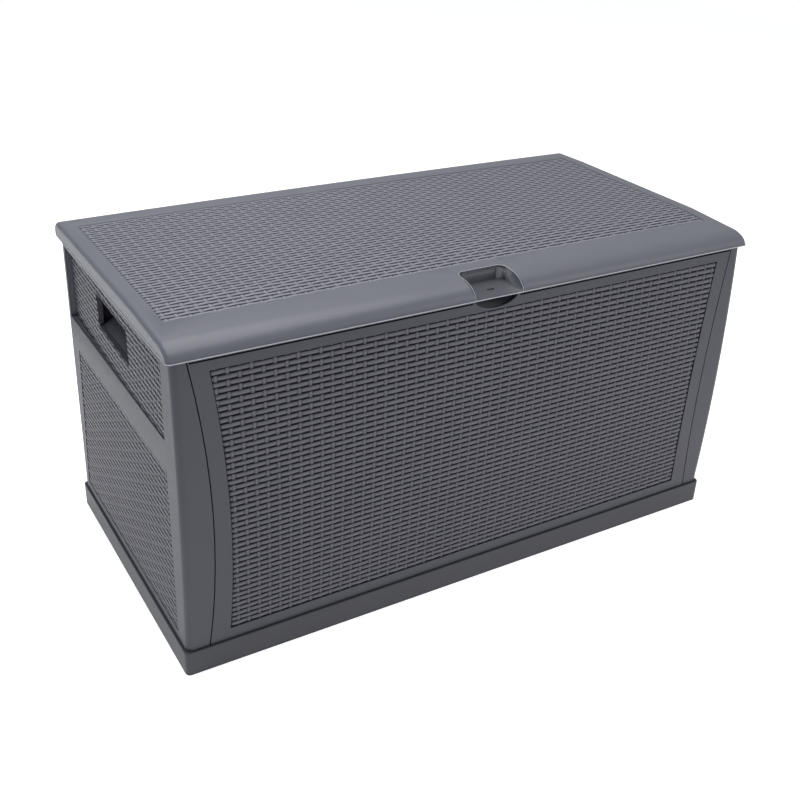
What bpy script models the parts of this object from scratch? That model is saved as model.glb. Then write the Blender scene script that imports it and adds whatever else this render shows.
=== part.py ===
"""Deck storage box: moulded polypropylene panels on a base plinth, closed by a hinged lid.

Metres, +Z up. X runs along the length, the front faces -Y, and the origin is on the ground
under the middle of the box. The lid turns about one axis along X at its rear edge.
"""
import math

import bmesh
import bpy

# Overall sizes
LENGTH = 1.200            # plinth, outside, along X
DEPTH = 0.608             # plinth, outside, along Y
PLINTH_HEIGHT = 0.049
RIM_HEIGHT = 0.606        # top edge of the four wall panels
LIP_HEIGHT = 0.6035       # lower edge of the lid's skirt and lip
LID_HEIGHT = 0.634        # top of the lid at its edges
LID_CROWN = 0.003         # extra height at the middle of the lid

# Walls and clearances
WALL = 0.004              # wall panels
LID_WALL = 0.003
GAP = 0.0003              # between pieces that touch
SEAM_GAP = 0.0020         # open joint between two wall panels
TURN_GAP = 0.0015         # between pieces that turn past each other
FIELD_DEPTH = 0.0025      # how far the woven fields are set back

# Body
FOOT_STEP = 0.0045        # plinth stands proud of the body by this much
SIDE_DRAFT = 0.006        # the body narrows by this much at each end, bottom to top
FACE_DRAFT = 0.0035       # the same at the front and the back
FRONT_BULGE = 0.0088      # outward bow of the front at mid height
CORNER_RADIUS = 0.012
LEVEL_HEIGHT = 0.035      # facets up the bowed faces are no taller than this
PLINTH_RADIUS = 0.009
PLINTH_EDGE = 0.002
PLINTH_FLANGE = 0.035     # width of the plinth's top, outside to opening
PLINTH_WALL = 0.004

# Front and back seams: each is an arc that is nearest the middle at SEAM_WAIST
SEAM_INSET = 0.062        # from the plinth's end to the seam at its waist
SEAM_RADIUS = 1.85
SEAM_WAIST = 0.290
SEAM_STEPS = 12

# Woven fields
FIELD_BOTTOM = 0.0725
FIELD_TOP = 0.5785
FIELD_INSET = 0.092       # plinth's end to the front field at its waist
FIELD_RADIUS = 2.4
FIELD_WAIST = 0.260
RAIL_BOTTOM = 0.387       # plain rail across each side panel
RAIL_TOP = 0.446
SIDE_FIELD_BOTTOM = 0.066
SIDE_FIELD_FRONT_INSET = 0.046   # from the plinth's front to the lower side field
SIDE_FIELD_BACK_INSET = 0.063    # from the plinth's back to its top back corner
SIDE_FIELD_FLARE = 0.030  # the lower side field widens towards the back by this much
LID_FIELD_END_INSET = 0.032      # plinth's end to the lid's field
LID_FIELD_FRONT_INSET = 0.092    # plinth's front to the lid's field
LID_FIELD_BACK_INSET = 0.054     # plinth's back to the lid's field

# Recess above the rail, which gets deeper towards the back
RECESS_FRONT_INSET = 0.054       # from the plinth's front
RECESS_BACK_INSET = 0.029        # from the plinth's back
RECESS_TOP = 0.588
RECESS_SHALLOW = 0.0043   # depth at its front end
RECESS_DEEP = 0.0136      # depth at its back end
RECESS_BEND = 2.2         # how late it deepens
RECESS_STEPS = 10

# Hand-hold in each side panel
GRIP_FRONT = -0.079
GRIP_BACK = 0.098
GRIP_BOTTOM = 0.499
GRIP_TOP = 0.562
GRIP_DEPTH = 0.036        # depth of the pocket behind the opening
GRIP_WELL = 0.020         # the pocket goes down by this much below the opening
GRIP_WALL = 0.003
RAMP_REACH = 0.024        # the ledge runs in by this much
RAMP_RISE = 0.013         # and rises by this much
RAMP_SLOT = 0.013         # open slot at the front end of the ledge

# Lid outline
LID_END_INSET = 0.003     # plinth's end to the lid's end
LID_REACH = 0.0005        # the lid's front edge stands this far in front of the plinth
NOSE_LENGTH = 0.0425      # from the front edge to where the top turns down into the nose
SLOPE_LENGTH = 0.1545     # from the front edge to where the top starts to fall
NOSE_DROP = 0.006         # fall of the top between the two
LID_EDGE_RADIUS = 0.008
END_STEPS = 4             # facets around a lid end
NOSE_STEPS = 14           # facets around the nose
CROWN_STEPS = 10          # facets along the lid's crown
BARREL_RADIUS = 0.020     # rounded rear edge of the lid, around the hinge axis
BARREL_DROP = 0.002       # the barrel's top is this much under the lid's top

# Finger notch in the lid and the scoop under it
NOTCH_HALF = 0.050
NOTCH_LENGTH = 0.0685
NOTCH_RADIUS = 0.016
LOCK_SLOT_HALF = 0.007
LOCK_SLOT_WIDTH = 0.006
LOCK_INSET = 0.0285       # from the lid's front edge to the middle of the lock slot
SCOOP_HALF = 0.047
SCOOP_DROP = 0.022
CUP_DEPTH = 0.040
CUP_WALL = 0.003
LOCK_PLATE_HALF = 0.015
LOCK_PLATE_THICKNESS = 0.002

# Hinges
HINGE_X = 0.380
KNUCKLE_RADIUS = 0.013
KNUCKLE_HALF = 0.025
PIN_RADIUS = 0.004
ARM_THICKNESS = 0.0085
ARM_BOTTOM = 0.532
CHEEK = 0.004
CHEEK_RADIUS = 0.012
HINGE_OPENING = math.radians(28)   # rear edge of the lid is cut away up to this angle

# Inner pieces
FLOOR_THICKNESS = 0.005
FLOOR_RIB_DEPTH = 0.010
FLOOR_MARGIN = 0.0015
RIB = 0.003
WALL_RIB_DEPTH = 0.010
STRIP_WIDTH = 0.064
STRIP_OFFSET = 0.008      # from the seam's waist to the middle of the strip behind it
STRIP_THICKNESS = 0.004
STRIP_BOTTOM = 0.062
STRIP_TOP = 0.575
LINER_SKIN = 0.003
LINER_MARGIN = 0.006
LINER_SETBACK = 0.02855   # from the liner's back edge to the hinge axis
SCREW_RADIUS = 0.0018
SCREW_HEAD_RADIUS = 0.0042
SCREW_HEAD = 0.0024
SCREW_LENGTH = 0.0115
SCREW_REACH = 0.003       # how deep a screw goes into the panel behind
SEAT_GAP = 0.0005         # under a screw's head, on faces that are slightly bowed

BODY_BOTTOM = PLINTH_HEIGHT + GAP
HALF_LENGTH = LENGTH / 2 - FOOT_STEP
HALF_DEPTH = DEPTH / 2 - FOOT_STEP
LID_BACK = HALF_DEPTH - FACE_DRAFT / 2 + FRONT_BULGE   # in line with the front's bow
NOTCH_FLOOR = LIP_HEIGHT + LID_WALL + 0.0005 + GAP      # clears the lock plate
AXIS_Y = LID_BACK - BARREL_RADIUS
AXIS_Z = LID_HEIGHT - BARREL_DROP - BARREL_RADIUS
SIDE_FIELD_FRONT = SIDE_FIELD_FRONT_INSET - DEPTH / 2
SIDE_FIELD_BACK = DEPTH / 2 - SIDE_FIELD_BACK_INSET
RECESS_FRONT = RECESS_FRONT_INSET - DEPTH / 2
RECESS_BACK = DEPTH / 2 - RECESS_BACK_INSET
LID_FIELD_HALF = LENGTH / 2 - LID_FIELD_END_INSET
LID_FIELD_FRONT = LID_FIELD_FRONT_INSET - DEPTH / 2
LID_FIELD_BACK = DEPTH / 2 - LID_FIELD_BACK_INSET
LID_HALF_LENGTH = LENGTH / 2 - LID_END_INSET
LID_FRONT = -DEPTH / 2 - LID_REACH
NOSE_START = LID_FRONT + NOSE_LENGTH
NOSE_SLOPE = LID_FRONT + SLOPE_LENGTH
NOTCH_BACK = LID_FRONT + NOTCH_LENGTH
LOCK_Y = LID_FRONT + LOCK_INSET
LINER_BACK = AXIS_Y - LINER_SETBACK
STRIP_MIDDLE = LENGTH / 2 - SEAM_INSET + STRIP_OFFSET
FAR = 1.0                 # cutters reach this far where they run clear of the part

for old in list(bpy.data.objects):
    bpy.data.objects.remove(old, do_unlink=True)

parts = bpy.data.collections.new("deck_storage_box")
cutters = bpy.data.collections.new("cutters")
bpy.context.scene.collection.children.link(parts)
bpy.context.scene.collection.children.link(cutters)


def material(name, colour, roughness, metallic=0.0):
    """A Principled material with the finish of one kind of piece."""
    mat = bpy.data.materials.new(name)
    mat.use_nodes = True
    shader = mat.node_tree.nodes["Principled BSDF"]
    shader.inputs["Base Color"].default_value = (*colour, 1.0)
    shader.inputs["Roughness"].default_value = roughness
    shader.inputs["Metallic"].default_value = metallic
    return mat


def add_object(name, mesh, collection=parts, mat=None):
    """Links a mesh as an object, in the part or among the cutters."""
    obj = bpy.data.objects.new(name, mesh)
    collection.objects.link(obj)
    if collection is cutters:
        obj.hide_render = True
        obj.display_type = "WIRE"
    if mat:
        mesh.materials.append(mat)
    return obj


def mesh_from(bm, name):
    """Writes a bmesh out as a mesh with its faces pointing out."""
    bm.normal_update()
    bmesh.ops.recalc_face_normals(bm, faces=bm.faces)
    mesh = bpy.data.meshes.new(name)
    bm.to_mesh(mesh)
    bm.free()
    return mesh


def boolean(obj, other, operation="DIFFERENCE"):
    """Adds a live Boolean against another object."""
    mod = obj.modifiers.new(f"{operation.lower()} {other.name}", "BOOLEAN")
    mod.operation = operation
    mod.object = other
    return obj


def add_block(bm, low, high):
    """Adds an axis-aligned block between two corners to a bmesh."""
    made = bmesh.ops.create_cube(bm, size=1.0)
    for vert in made["verts"]:
        for axis in range(3):
            vert.co[axis] = low[axis] if vert.co[axis] < 0 else high[axis]


def blocks(name, corners, collection=cutters, mat=None):
    """One object made of separate blocks, each given by its two corners."""
    bm = bmesh.new()
    for low, high in corners:
        add_block(bm, low, high)
    return add_object(name, mesh_from(bm, name), collection, mat)


def prism(name, outline, axis, low, high, collection=cutters, mat=None):
    """A flat outline extruded along an axis; outline points are (u, v) in axis order."""
    curve = bpy.data.curves.new(name, "CURVE")
    curve.dimensions = "2D"
    curve.fill_mode = "BOTH"
    curve.extrude = (high - low) / 2
    spline = curve.splines.new("POLY")
    spline.points.add(len(outline) - 1)
    for point, (u, v) in zip(spline.points, outline):
        point.co = (u, v, 0.0, 1.0)
    spline.use_cyclic_u = True
    shape = bpy.data.objects.new(name + "_outline", curve)
    bpy.context.scene.collection.objects.link(shape)
    bpy.context.view_layer.update()
    depsgraph = bpy.context.evaluated_depsgraph_get()
    mesh = bpy.data.meshes.new_from_object(shape.evaluated_get(depsgraph))
    bpy.data.objects.remove(shape, do_unlink=True)
    bm = bmesh.new()
    bm.from_mesh(mesh)
    bmesh.ops.remove_doubles(bm, verts=bm.verts, dist=1e-6)
    middle = (low + high) / 2
    for vert in bm.verts:
        u, v, w = vert.co.x, vert.co.y, vert.co.z + middle
        vert.co = {"X": (w, u, v), "Y": (u, w, v), "Z": (u, v, w)}[axis]
    return add_object(name, mesh_from(bm, name), collection, mat)


def arc(cu, cv, ru, rv, start, end, steps):
    """Points on an ellipse about (cu, cv), angles in degrees."""
    points = []
    for i in range(steps + 1):
        a = math.radians(start + (end - start) * i / steps)
        points.append((cu + ru * math.cos(a), cv + rv * math.sin(a)))
    return points


def rod(bm, centre, axis, radius, half, sides=16):
    """Adds a closed cylinder along an axis to a bmesh."""
    made = bmesh.ops.create_cone(
        bm, cap_ends=True, segments=sides, radius1=radius, radius2=radius, depth=2 * half)
    for vert in made["verts"]:
        x, y, z = vert.co
        turned = {"X": (z, x, y), "Y": (x, z, y), "Z": (x, y, z)}[axis]
        vert.co = [c + t for c, t in zip(centre, turned)]


def rods(name, places, axis, radius, half, sides=16, collection=cutters, mat=None):
    """One object made of parallel rods."""
    bm = bmesh.new()
    for centre in places:
        rod(bm, centre, axis, radius, half, sides)
    return add_object(name, mesh_from(bm, name), collection, mat)


# ---------------------------------------------------------------- body outline

def rise(z):
    """0 at the foot of the wall panels, 1 at their rim."""
    return (z - BODY_BOTTOM) / (RIM_HEIGHT - BODY_BOTTOM)


def half_length(z):
    return HALF_LENGTH - SIDE_DRAFT * rise(z)


def back_y(z):
    return HALF_DEPTH - FACE_DRAFT * rise(z)


def front_y(z):
    return -back_y(z) - FRONT_BULGE * 4 * rise(z) * (1 - rise(z))


def body_solid(name, inset, bottom=BODY_BOTTOM, top=RIM_HEIGHT, collection=cutters, mat=None):
    """The body's outer form, or the same form set in by a distance, between two heights."""
    bm = bmesh.new()
    add_block(bm, (-1, -1, bottom), (1, 1, top))
    upright = [e for e in bm.edges if abs(e.verts[0].co.z - e.verts[1].co.z) > 1e-6]
    # the unit square is rounded first, in millimetre-sized offsets from its corners
    radius = max(CORNER_RADIUS - inset, 0.002)
    bmesh.ops.bevel(bm, geom=upright, offset=radius, segments=4, profile=0.5, affect="EDGES")
    levels = math.ceil((top - bottom) / LEVEL_HEIGHT)
    for i in range(1, levels):
        z = bottom + (top - bottom) * i / levels
        geom = bm.verts[:] + bm.edges[:] + bm.faces[:]
        bmesh.ops.bisect_plane(bm, geom=geom, plane_co=(0, 0, z), plane_no=(0, 0, 1))
    for vert in bm.verts:
        x, y, z = vert.co
        side = half_length(z) - inset
        face = (back_y(z) if y > 0 else -front_y(z)) - inset
        vert.co.x = math.copysign(side - (1 - abs(x)), x)
        vert.co.y = math.copysign(face - (1 - abs(y)), y)
    return add_object(name, mesh_from(bm, name), collection, mat)


def seam_x(z, gap=0.0):
    """Half width of the front panel at a height, less half the open joint."""
    sag = SEAM_RADIUS - math.sqrt(SEAM_RADIUS ** 2 - (z - SEAM_WAIST) ** 2)
    return LENGTH / 2 - SEAM_INSET + sag - gap


def field_x(z):
    """Half width of the front panel's woven field at a height."""
    sag = FIELD_RADIUS - math.sqrt(FIELD_RADIUS ** 2 - (z - FIELD_WAIST) ** 2)
    return LENGTH / 2 - FIELD_INSET + sag


def waisted_outline(half_width, bottom, top):
    """A closed outline in X and Z whose two sides follow a curve."""
    heights = [bottom + (top - bottom) * i / SEAM_STEPS for i in range(SEAM_STEPS + 1)]
    right = [(half_width(z), z) for z in heights]
    left = [(-x, z) for x, z in reversed(right)]
    return right + left


# ---------------------------------------------------------------- materials

resin = material("grey_polypropylene", (0.13, 0.13, 0.15), 0.42)
resin_inner = material("inner_polypropylene", (0.10, 0.10, 0.11), 0.55)
steel = material("zinc_plated_steel", (0.62, 0.62, 0.64), 0.35, 1.0)

# ---------------------------------------------------------------- cavity and openings

cavity = body_solid("cavity", WALL, BODY_BOTTOM - 0.01, RIM_HEIGHT + 0.01)

# stiffening ribs on the inside of the front and back panels
rib_blocks = []
rib_pitch = (STRIP_MIDDLE - STRIP_WIDTH / 2) / 3.5
for i in (-3, -2, -1, 1, 2, 3):
    x = i * rib_pitch
    low, high = STRIP_BOTTOM, STRIP_TOP - 0.012
    rib_blocks.append(((x - RIB / 2, -FAR, low), (x + RIB / 2, -HALF_DEPTH + WALL_RIB_DEPTH, high)))
    rib_blocks.append(((x - RIB / 2, HALF_DEPTH - WALL_RIB_DEPTH - WALL, low),
                       (x + RIB / 2, FAR, ARM_BOTTOM - 0.02)))
boolean(cavity, blocks("wall_backing", rib_blocks))


def recess_depth(y):
    """Depth of the recess above the rail at a distance from the front."""
    share = min(max((y - RECESS_FRONT) / (RECESS_BACK - RECESS_FRONT), 0.0), 1.0)
    return RECESS_SHALLOW + (RECESS_DEEP - RECESS_SHALLOW) * share ** RECESS_BEND


def recess_solid(name, side, grow):
    """The recess of one side, or the same form grown by a distance behind and around."""
    front, back = RECESS_FRONT - grow, RECESS_BACK + grow
    outline = [(side * FAR, back), (side * FAR, front)]
    for i in range(RECESS_STEPS + 1):
        y = front + (back - front) * i / RECESS_STEPS
        outline.append((side * (half_length(RAIL_TOP) - recess_depth(y) - grow), y))
    return prism(name, outline, "Z", RAIL_TOP - grow, RECESS_TOP + grow)


for side, word in ((-1, "left"), (1, "right")):
    boolean(cavity, recess_solid(f"recess_backing_{word}", side, WALL))

front_region = prism("front_region", waisted_outline(lambda z: seam_x(z, SEAM_GAP / 2), 0.0, 0.65),
                     "Y", -FAR, -HALF_DEPTH + 0.05)
front_region_wide = prism("front_region_wide",
                          waisted_outline(lambda z: seam_x(z, -SEAM_GAP / 2), 0.0, 0.65),
                          "Y", -FAR, -HALF_DEPTH + 0.05)
back_region = prism("back_region", waisted_outline(lambda z: seam_x(z, SEAM_GAP / 2), 0.0, 0.65),
                    "Y", HALF_DEPTH - 0.05, FAR)
back_region_wide = prism("back_region_wide",
                         waisted_outline(lambda z: seam_x(z, -SEAM_GAP / 2), 0.0, 0.65),
                         "Y", HALF_DEPTH - 0.05, FAR)

# woven fields are cut down to a second form of the body, set in by the field's depth
field_core = body_solid("field_core", FIELD_DEPTH, BODY_BOTTOM - 0.01, RIM_HEIGHT + 0.01)
front_field = prism("front_field", waisted_outline(field_x, FIELD_BOTTOM, FIELD_TOP),
                    "Y", -FAR, -HALF_DEPTH + 0.05)
boolean(front_field, field_core)
back_field = prism("back_field", waisted_outline(field_x, FIELD_BOTTOM, FIELD_TOP - 0.035),
                   "Y", HALF_DEPTH - 0.05, FAR)
boolean(back_field, field_core)

lower_side_outline = [
    (SIDE_FIELD_FRONT, SIDE_FIELD_BOTTOM), (SIDE_FIELD_BACK + SIDE_FIELD_FLARE, SIDE_FIELD_BOTTOM),
    (SIDE_FIELD_BACK, RAIL_BOTTOM), (SIDE_FIELD_FRONT + 0.008, RAIL_BOTTOM)]
side_field_cuts = {}
for side, word in ((-1, "left"), (1, "right")):
    reach = sorted((side * (HALF_LENGTH - 0.05), side * FAR))
    lower = prism(f"lower_field_{word}", lower_side_outline, "X", *reach)
    boolean(lower, field_core)
    mouth = sorted((side * (HALF_LENGTH - 0.03), side * FAR))
    opening = blocks(f"grip_opening_{word}", [((mouth[0], GRIP_FRONT, GRIP_BOTTOM),
                                               (mouth[1], GRIP_BACK, GRIP_TOP))])
    side_field_cuts[word] = (lower, recess_solid(f"recess_{word}", side, 0.0), opening)

# the lid's rear barrel turns over the panels' top edges
barrel_sweep = rods("barrel_sweep", [(0, AXIS_Y, AXIS_Z)], "X", BARREL_RADIUS + TURN_GAP, FAR, 32)
rear_rim = blocks("rear_rim", [((-FAR, AXIS_Y - BARREL_RADIUS - TURN_GAP, AXIS_Z - 0.002),
                                (FAR, FAR, FAR))])

# ---------------------------------------------------------------- screws and their holes

ARM_BACK = back_y(RIM_HEIGHT) - WALL - GAP
screw_sites = []          # name, centre of the seat, direction along Y, holder

for side, end in ((-1, "left"), (1, "right")):
    for facing, face in ((-1, "front"), (1, "back")):
        for row, z in enumerate((0.16, 0.46)):
            for column, offset in enumerate((-0.020, 0.020)):
                x = side * (seam_x(z) + offset)
                wall = -front_y(z) if facing < 0 else back_y(z)
                seat = facing * (wall - WALL - GAP - STRIP_THICKNESS - SEAT_GAP)
                name = f"panel_screw_{face}_{end}_{2 * row + column + 1}"
                screw_sites.append((name, x, seat, z, facing))
for side, end in ((-1, "left"), (1, "right")):
    for i, z in enumerate((0.545, 0.567)):
        seat = ARM_BACK - ARM_THICKNESS - SEAT_GAP
        screw_sites.append((f"hinge_screw_lower_{end}_{i + 1}", side * HINGE_X, seat, z, 1))
LINER_TOP = LID_HEIGHT - BARREL_DROP - LID_WALL - GAP
for side, end in ((-1, "left"), (1, "right")):
    for i, offset in enumerate((-0.014, 0.014)):
        seat = LINER_BACK + GAP + CHEEK + SEAT_GAP
        x = side * HINGE_X + offset
        screw_sites.append((f"hinge_screw_upper_{end}_{i + 1}", x, seat, AXIS_Z + 0.004, -1))


def screw(name, x, seat, z, facing):
    """A pan-head screw: a turned profile along Y, its head's underside on the seat."""
    length = SCREW_LENGTH if "hinge" in name and facing > 0 else STRIP_THICKNESS + GAP + SCREW_REACH
    profile = [(0.0, -SCREW_HEAD), (SCREW_HEAD_RADIUS * 0.7, -SCREW_HEAD),
               (SCREW_HEAD_RADIUS, -SCREW_HEAD * 0.4), (SCREW_HEAD_RADIUS, 0.0),
               (SCREW_RADIUS, 0.0), (SCREW_RADIUS, length - 0.001),
               (SCREW_RADIUS * 0.5, length), (0.0, length)]
    bm = bmesh.new()
    verts = [bm.verts.new((r, 0.0, -h)) for r, h in profile]
    edges = [bm.edges.new(pair) for pair in zip(verts, verts[1:])]
    bmesh.ops.spin(bm, geom=verts + edges, cent=(0, 0, 0), axis=(0, 0, 1),
                   angle=math.tau, steps=10, use_merge=True)
    bmesh.ops.remove_doubles(bm, verts=bm.verts, dist=1e-6)
    for vert in bm.verts:
        u, v, along = vert.co.x, vert.co.y, -vert.co.z
        vert.co = (x + u, seat + facing * along, z + v)
    return add_object(name, mesh_from(bm, name), parts, steel)


hole_radius = SCREW_RADIUS + GAP
panel_holes, hinge_holes, liner_holes = [], [], []
for name, x, seat, z, facing in screw_sites:
    piece = screw(name, x, seat, z, facing)
    piece.data.shade_smooth()
    piece.data.set_sharp_from_angle(angle=math.radians(35))
    if "upper" in name:
        liner_holes.append((x, seat, z))
    elif "lower" in name:
        hinge_holes.append((x, seat, z))
    else:
        panel_holes.append((x, seat + facing * 0.004, z))
panel_hole_cut = rods("panel_holes", panel_holes, "Y", hole_radius, 0.0039, 10)
hinge_hole_cut = rods("hinge_holes", hinge_holes, "Y", hole_radius, 0.0120, 10)
liner_hole_cut = rods("liner_holes", liner_holes, "Y", hole_radius, 0.0095, 10)

# ---------------------------------------------------------------- base plinth and floor

bm = bmesh.new()
add_block(bm, (-LENGTH / 2, -DEPTH / 2, 0.0), (LENGTH / 2, DEPTH / 2, PLINTH_HEIGHT))
upright = [e for e in bm.edges if abs(e.verts[0].co.z - e.verts[1].co.z) > 1e-6]
bmesh.ops.bevel(bm, geom=upright, offset=PLINTH_RADIUS, segments=4, profile=0.5, affect="EDGES")
rim_edges = [e for e in bm.edges if all(v.co.z > PLINTH_HEIGHT - 1e-6 for v in e.verts)]
bmesh.ops.bevel(bm, geom=rim_edges, offset=PLINTH_EDGE, segments=2, profile=0.5, affect="EDGES")
plinth = add_object("base_plinth", mesh_from(bm, "base_plinth"), parts, resin)
open_x = LENGTH / 2 - PLINTH_FLANGE
open_y = DEPTH / 2 - PLINTH_FLANGE
plinth_opening = blocks("plinth_opening", [((-open_x, -open_y, -FAR), (open_x, open_y, FAR))])
hollow_out = blocks("plinth_hollow", [
    ((-LENGTH / 2 + PLINTH_WALL, -DEPTH / 2 + PLINTH_WALL, -FAR),
     (LENGTH / 2 - PLINTH_WALL, DEPTH / 2 - PLINTH_WALL, PLINTH_HEIGHT - PLINTH_WALL))])
hollow_keep = blocks("plinth_inner_wall", [
    ((-open_x - PLINTH_WALL, -open_y - PLINTH_WALL, -2 * FAR),
     (open_x + PLINTH_WALL, open_y + PLINTH_WALL, 2 * FAR))])
boolean(hollow_out, hollow_keep)
boolean(plinth, hollow_out)
boolean(plinth, plinth_opening)

floor_top = BODY_BOTTOM + FLOOR_THICKNESS
floor = body_solid("floor_panel", WALL + FLOOR_MARGIN, BODY_BOTTOM, floor_top, parts, resin_inner)
rib_x, rib_y = open_x - 0.003, open_y - 0.003
floor_ribs = blocks("floor_rib_block", [((-rib_x, -rib_y, BODY_BOTTOM - FLOOR_RIB_DEPTH),
                                         (rib_x, rib_y, BODY_BOTTOM + FLOOR_THICKNESS / 2))])
pocket_blocks = []
columns, rows = 8, 3
for i in range(columns):
    for j in range(rows):
        x0 = -rib_x + RIB + i * (2 * rib_x - RIB) / columns
        x1 = -rib_x + (i + 1) * (2 * rib_x - RIB) / columns
        y0 = -rib_y + RIB + j * (2 * rib_y - RIB) / rows
        y1 = -rib_y + (j + 1) * (2 * rib_y - RIB) / rows
        pocket_blocks.append(((x0, y0, -FAR), (x1, y1, BODY_BOTTOM)))
boolean(floor, floor_ribs, "UNION")
boolean(floor, blocks("floor_pockets", pocket_blocks))

# ---------------------------------------------------------------- wall panels

scoop_outline = arc(0.0, LIP_HEIGHT + 0.0005, SCOOP_HALF, SCOOP_DROP, 180, 360, 14)
scoop_outline += [(NOTCH_HALF + 0.006, LIP_HEIGHT + 0.0005), (NOTCH_HALF + 0.006, 0.65),
                  (-NOTCH_HALF - 0.006, 0.65), (-NOTCH_HALF - 0.006, LIP_HEIGHT + 0.0005)]
scoop = prism("scoop", scoop_outline, "Y", -FAR, -HALF_DEPTH + 0.02)

front_panel = body_solid("front_panel", 0.0, collection=parts, mat=resin)
boolean(front_panel, cavity)
boolean(front_panel, front_region, "INTERSECT")
boolean(front_panel, front_field)
boolean(front_panel, scoop)
boolean(front_panel, panel_hole_cut)

back_panel = body_solid("back_panel", 0.0, collection=parts, mat=resin)
boolean(back_panel, cavity)
boolean(back_panel, back_region, "INTERSECT")
boolean(back_panel, back_field)
boolean(back_panel, barrel_sweep)
boolean(back_panel, rear_rim)
boolean(back_panel, panel_hole_cut)
boolean(back_panel, hinge_hole_cut)

for side, word in ((-1, "left"), (1, "right")):
    panel = body_solid(f"side_panel_{word}", 0.0, collection=parts, mat=resin)
    xs = sorted((side * LENGTH / 4, side * FAR))
    half = blocks(f"half_{word}", [((xs[0], -FAR, -FAR), (xs[1], FAR, FAR))])
    boolean(panel, cavity)
    boolean(panel, half, "INTERSECT")
    boolean(panel, front_region_wide)
    boolean(panel, back_region_wide)
    for cut in side_field_cuts[word]:
        boolean(panel, cut)
    boolean(panel, barrel_sweep)
    boolean(panel, rear_rim)
    boolean(panel, panel_hole_cut)

# ---------------------------------------------------------------- hand-hold pockets

pocket_front, pocket_back = GRIP_FRONT - 0.008, GRIP_BACK + 0.020
pocket_low, pocket_high = GRIP_BOTTOM - GRIP_WELL, GRIP_TOP + 0.012
for side, word in ((-1, "left"), (1, "right")):
    outer = half_length(RAIL_TOP) - recess_depth(pocket_back) - WALL - GAP
    inner = outer - GRIP_DEPTH
    xs = sorted((side * (outer + 0.02), side * inner))
    pocket = blocks(f"grip_pocket_{word}", [((xs[0], pocket_front, pocket_low),
                                             (xs[1], pocket_back, pocket_high))], parts, resin)
    xs = sorted((side * (outer - GRIP_WALL), side * (inner + GRIP_WALL)))
    hollow = blocks(f"grip_hollow_{word}", [
        ((xs[0], pocket_front + GRIP_WALL, pocket_low + GRIP_WALL),
         (xs[1], pocket_back - GRIP_WALL, pocket_high - GRIP_WALL))])
    xs = sorted((side * (outer - 2 * GRIP_WALL), side * FAR))
    boolean(hollow, blocks(f"grip_mouth_{word}", [((xs[0], GRIP_FRONT, GRIP_BOTTOM),
                                                   (xs[1], GRIP_BACK, GRIP_TOP))]), "UNION")
    face = outer - GRIP_WALL / 2
    ramp = [(side * face, GRIP_BOTTOM - GRIP_WALL), (side * face, GRIP_BOTTOM),
            (side * (outer - RAMP_REACH), GRIP_BOTTOM + RAMP_RISE),
            (side * (outer - RAMP_REACH), GRIP_BOTTOM + RAMP_RISE - GRIP_WALL)]
    boolean(hollow, prism(f"grip_ramp_{word}", ramp, "Y", GRIP_FRONT + RAMP_SLOT, GRIP_BACK))
    boolean(pocket, hollow)
    boolean(pocket, recess_solid(f"recess_clear_{word}", side, WALL + GAP))

# ---------------------------------------------------------------- seam strips

strip_outer = body_solid("strip_core", WALL + GAP + STRIP_THICKNESS, 0.0, 0.7)
for side, end in ((-1, "left"), (1, "right")):
    for facing, face in ((-1, "front"), (1, "back")):
        strip = body_solid(f"seam_strip_{face}_{end}", WALL + GAP, collection=parts, mat=resin_inner)
        xs = sorted((side * (STRIP_MIDDLE - STRIP_WIDTH / 2), side * (STRIP_MIDDLE + STRIP_WIDTH / 2)))
        ys = sorted((facing * (HALF_DEPTH - 0.06), facing * FAR))
        top = STRIP_TOP if face == "front" else STRIP_TOP - 0.005
        region = blocks(f"strip_region_{face}_{end}", [((xs[0], ys[0], STRIP_BOTTOM),
                                                        (xs[1], ys[1], top))])
        boolean(strip, region, "INTERSECT")
        boolean(strip, strip_outer)
        boolean(strip, panel_hole_cut)

# ---------------------------------------------------------------- finger cup and lock plate

cup_front = -(back_y(LIP_HEIGHT) - WALL) + 0.0008
cup_back = cup_front + CUP_DEPTH
cup_top = LIP_HEIGHT - 0.0015
cup_low = LIP_HEIGHT - SCOOP_DROP - 0.006
cup_half = SCOOP_HALF + 0.006
cup = blocks("finger_cup", [((-cup_half, cup_front, cup_low), (cup_half, cup_back, cup_top))],
             parts, resin)
cup_hollow_outline = arc(0.0, cup_top, SCOOP_HALF + 0.001, SCOOP_DROP + 0.002, 180, 360, 14)
cup_hollow_outline += [(SCOOP_HALF + 0.001, 0.65), (-SCOOP_HALF - 0.001, 0.65)]
boolean(cup, prism("cup_hollow", cup_hollow_outline, "Y", -FAR, cup_back - CUP_WALL))

plate_top = LIP_HEIGHT - 0.0005
lock_plate = blocks("lock_plate", [
    ((-LOCK_PLATE_HALF, LOCK_Y - 0.010, plate_top - LOCK_PLATE_THICKNESS + 0.001),
     (LOCK_PLATE_HALF, cup_back + 0.004, plate_top + 0.001))], parts, steel)
lock_slot = blocks("lock_slot", [((-LOCK_SLOT_HALF, LOCK_Y - LOCK_SLOT_WIDTH / 2, 0),
                                  (LOCK_SLOT_HALF, LOCK_Y + LOCK_SLOT_WIDTH / 2, FAR))])
boolean(lock_plate, lock_slot)

# ---------------------------------------------------------------- lid

hinge = bpy.data.objects.new("lid_hinge", None)
hinge.location = (0, AXIS_Y, AXIS_Z)
parts.objects.link(hinge)
bpy.context.view_layer.update()


def on_lid(obj):
    """Parents a piece to the hinge axis without moving it."""
    obj.parent = hinge
    obj.matrix_parent_inverse = hinge.matrix_world.inverted()
    return obj


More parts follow.
